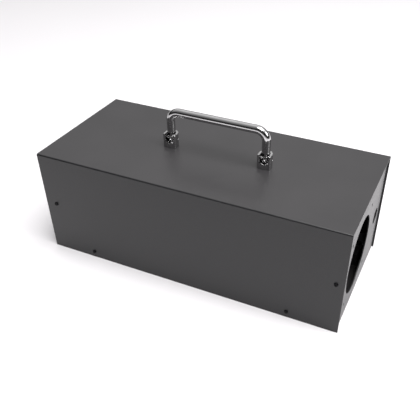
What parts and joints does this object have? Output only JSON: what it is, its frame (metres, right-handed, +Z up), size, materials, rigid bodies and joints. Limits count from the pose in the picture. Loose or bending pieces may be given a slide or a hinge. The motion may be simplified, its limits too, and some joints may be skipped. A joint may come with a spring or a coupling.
{
  "type": "battery box",
  "caption": "Black folded-steel battery box with a folding chrome carry handle on top, a round fan opening and a cable hole in one end, and a prismatic-cell pack inside.",
  "frame": {"origin": "middle of the footprint, on the surface the box stands on", "axes": "+Z up, +X along the case towards the fan end, -Y towards the front, which the handle folds to"},
  "size_m": [0.38, 0.173, 0.1845],
  "materials": {
    "case_paint": "fine-textured satin black powder coat",
    "chrome": "polished chrome plate",
    "black_screw": "black oxide, slightly glossy",
    "zinc_steel": "bright zinc plate",
    "clamp_plate": "mill-finish aluminium",
    "pad_foam": "closed-cell foam",
    "spacer_board": "glass-epoxy sheet",
    "cell_film": "blue insulating film over an aluminium can",
    "copper_bar": "copper, lightly tarnished",
    "bms_aluminium": "anodised, ribbed",
    "black_moulding": "moulded nylon",
    "fuse_body": "fuse body and tinned blade",
    "tinned_lug": "tinned copper",
    "lead_red": "silicone-covered lead",
    "lead_black": "silicone-covered lead"
  },
  "bodies": {
    "case": {"base": "case_paint", "block_fixings": "zinc_steel", "block_nuts": "zinc_steel", "bms_case": "bms_aluminium", "bms_screws": "zinc_steel", "bms_studs": "copper_bar", "busbar_1": "copper_bar", "busbar_2": "copper_bar", "busbar_3": "copper_bar", "busbar_4": "copper_bar", "busbar_5": "copper_bar", "busbar_6": "copper_bar", "busbar_7": "copper_bar", "cell_1": "cell_film", "cell_2": "cell_film", "cell_3": "cell_film", "cell_4": "cell_film", "cell_5": "cell_film", "cell_6": "cell_film", "cell_7": "cell_film", "cell_8": "cell_film", "cell_spacers": "spacer_board", "clamp_plate_left": "clamp_plate", "clamp_plate_right": "clamp_plate", "clinch_nuts": "zinc_steel", "cover": "case_paint", "cover_screws": "black_screw", "floor_nuts": "zinc_steel", "floor_studs": "zinc_steel", "fuse_holder": "black_moulding", "fuse_link": "fuse_body", "fuse_screws": "zinc_steel", "fuse_studs": "copper_bar", "handle_foot_left": "chrome", "handle_foot_right": "chrome", "handle_pin_left": "chrome", "handle_pin_right": "chrome", "handle_screws": "zinc_steel", "handle_washers": "zinc_steel", "lug_nuts": "zinc_steel", "lugs": "tinned_lug", "output_block": "black_moulding", "output_minus_lead": "lead_black", "output_nuts": "zinc_steel", "output_plus_lead": "lead_red", "output_studs": "copper_bar", "pack_minus_lead": "lead_black", "pack_pad": "pad_foam", "pack_plus_lead": "lead_red", "terminal_nuts": "zinc_steel", "tie_rod_nuts": "zinc_steel", "tie_rods": "zinc_steel"},
    "handle": {"handle_bar": "chrome"}
  },
  "joints": [
    {"name": "handle_fold", "type": "hinge", "parent": "case", "child": "handle", "pos_m": [0.005, 0, 0.146], "axis": [1, 0, 0], "range_deg": [0, 90]}
  ]
}
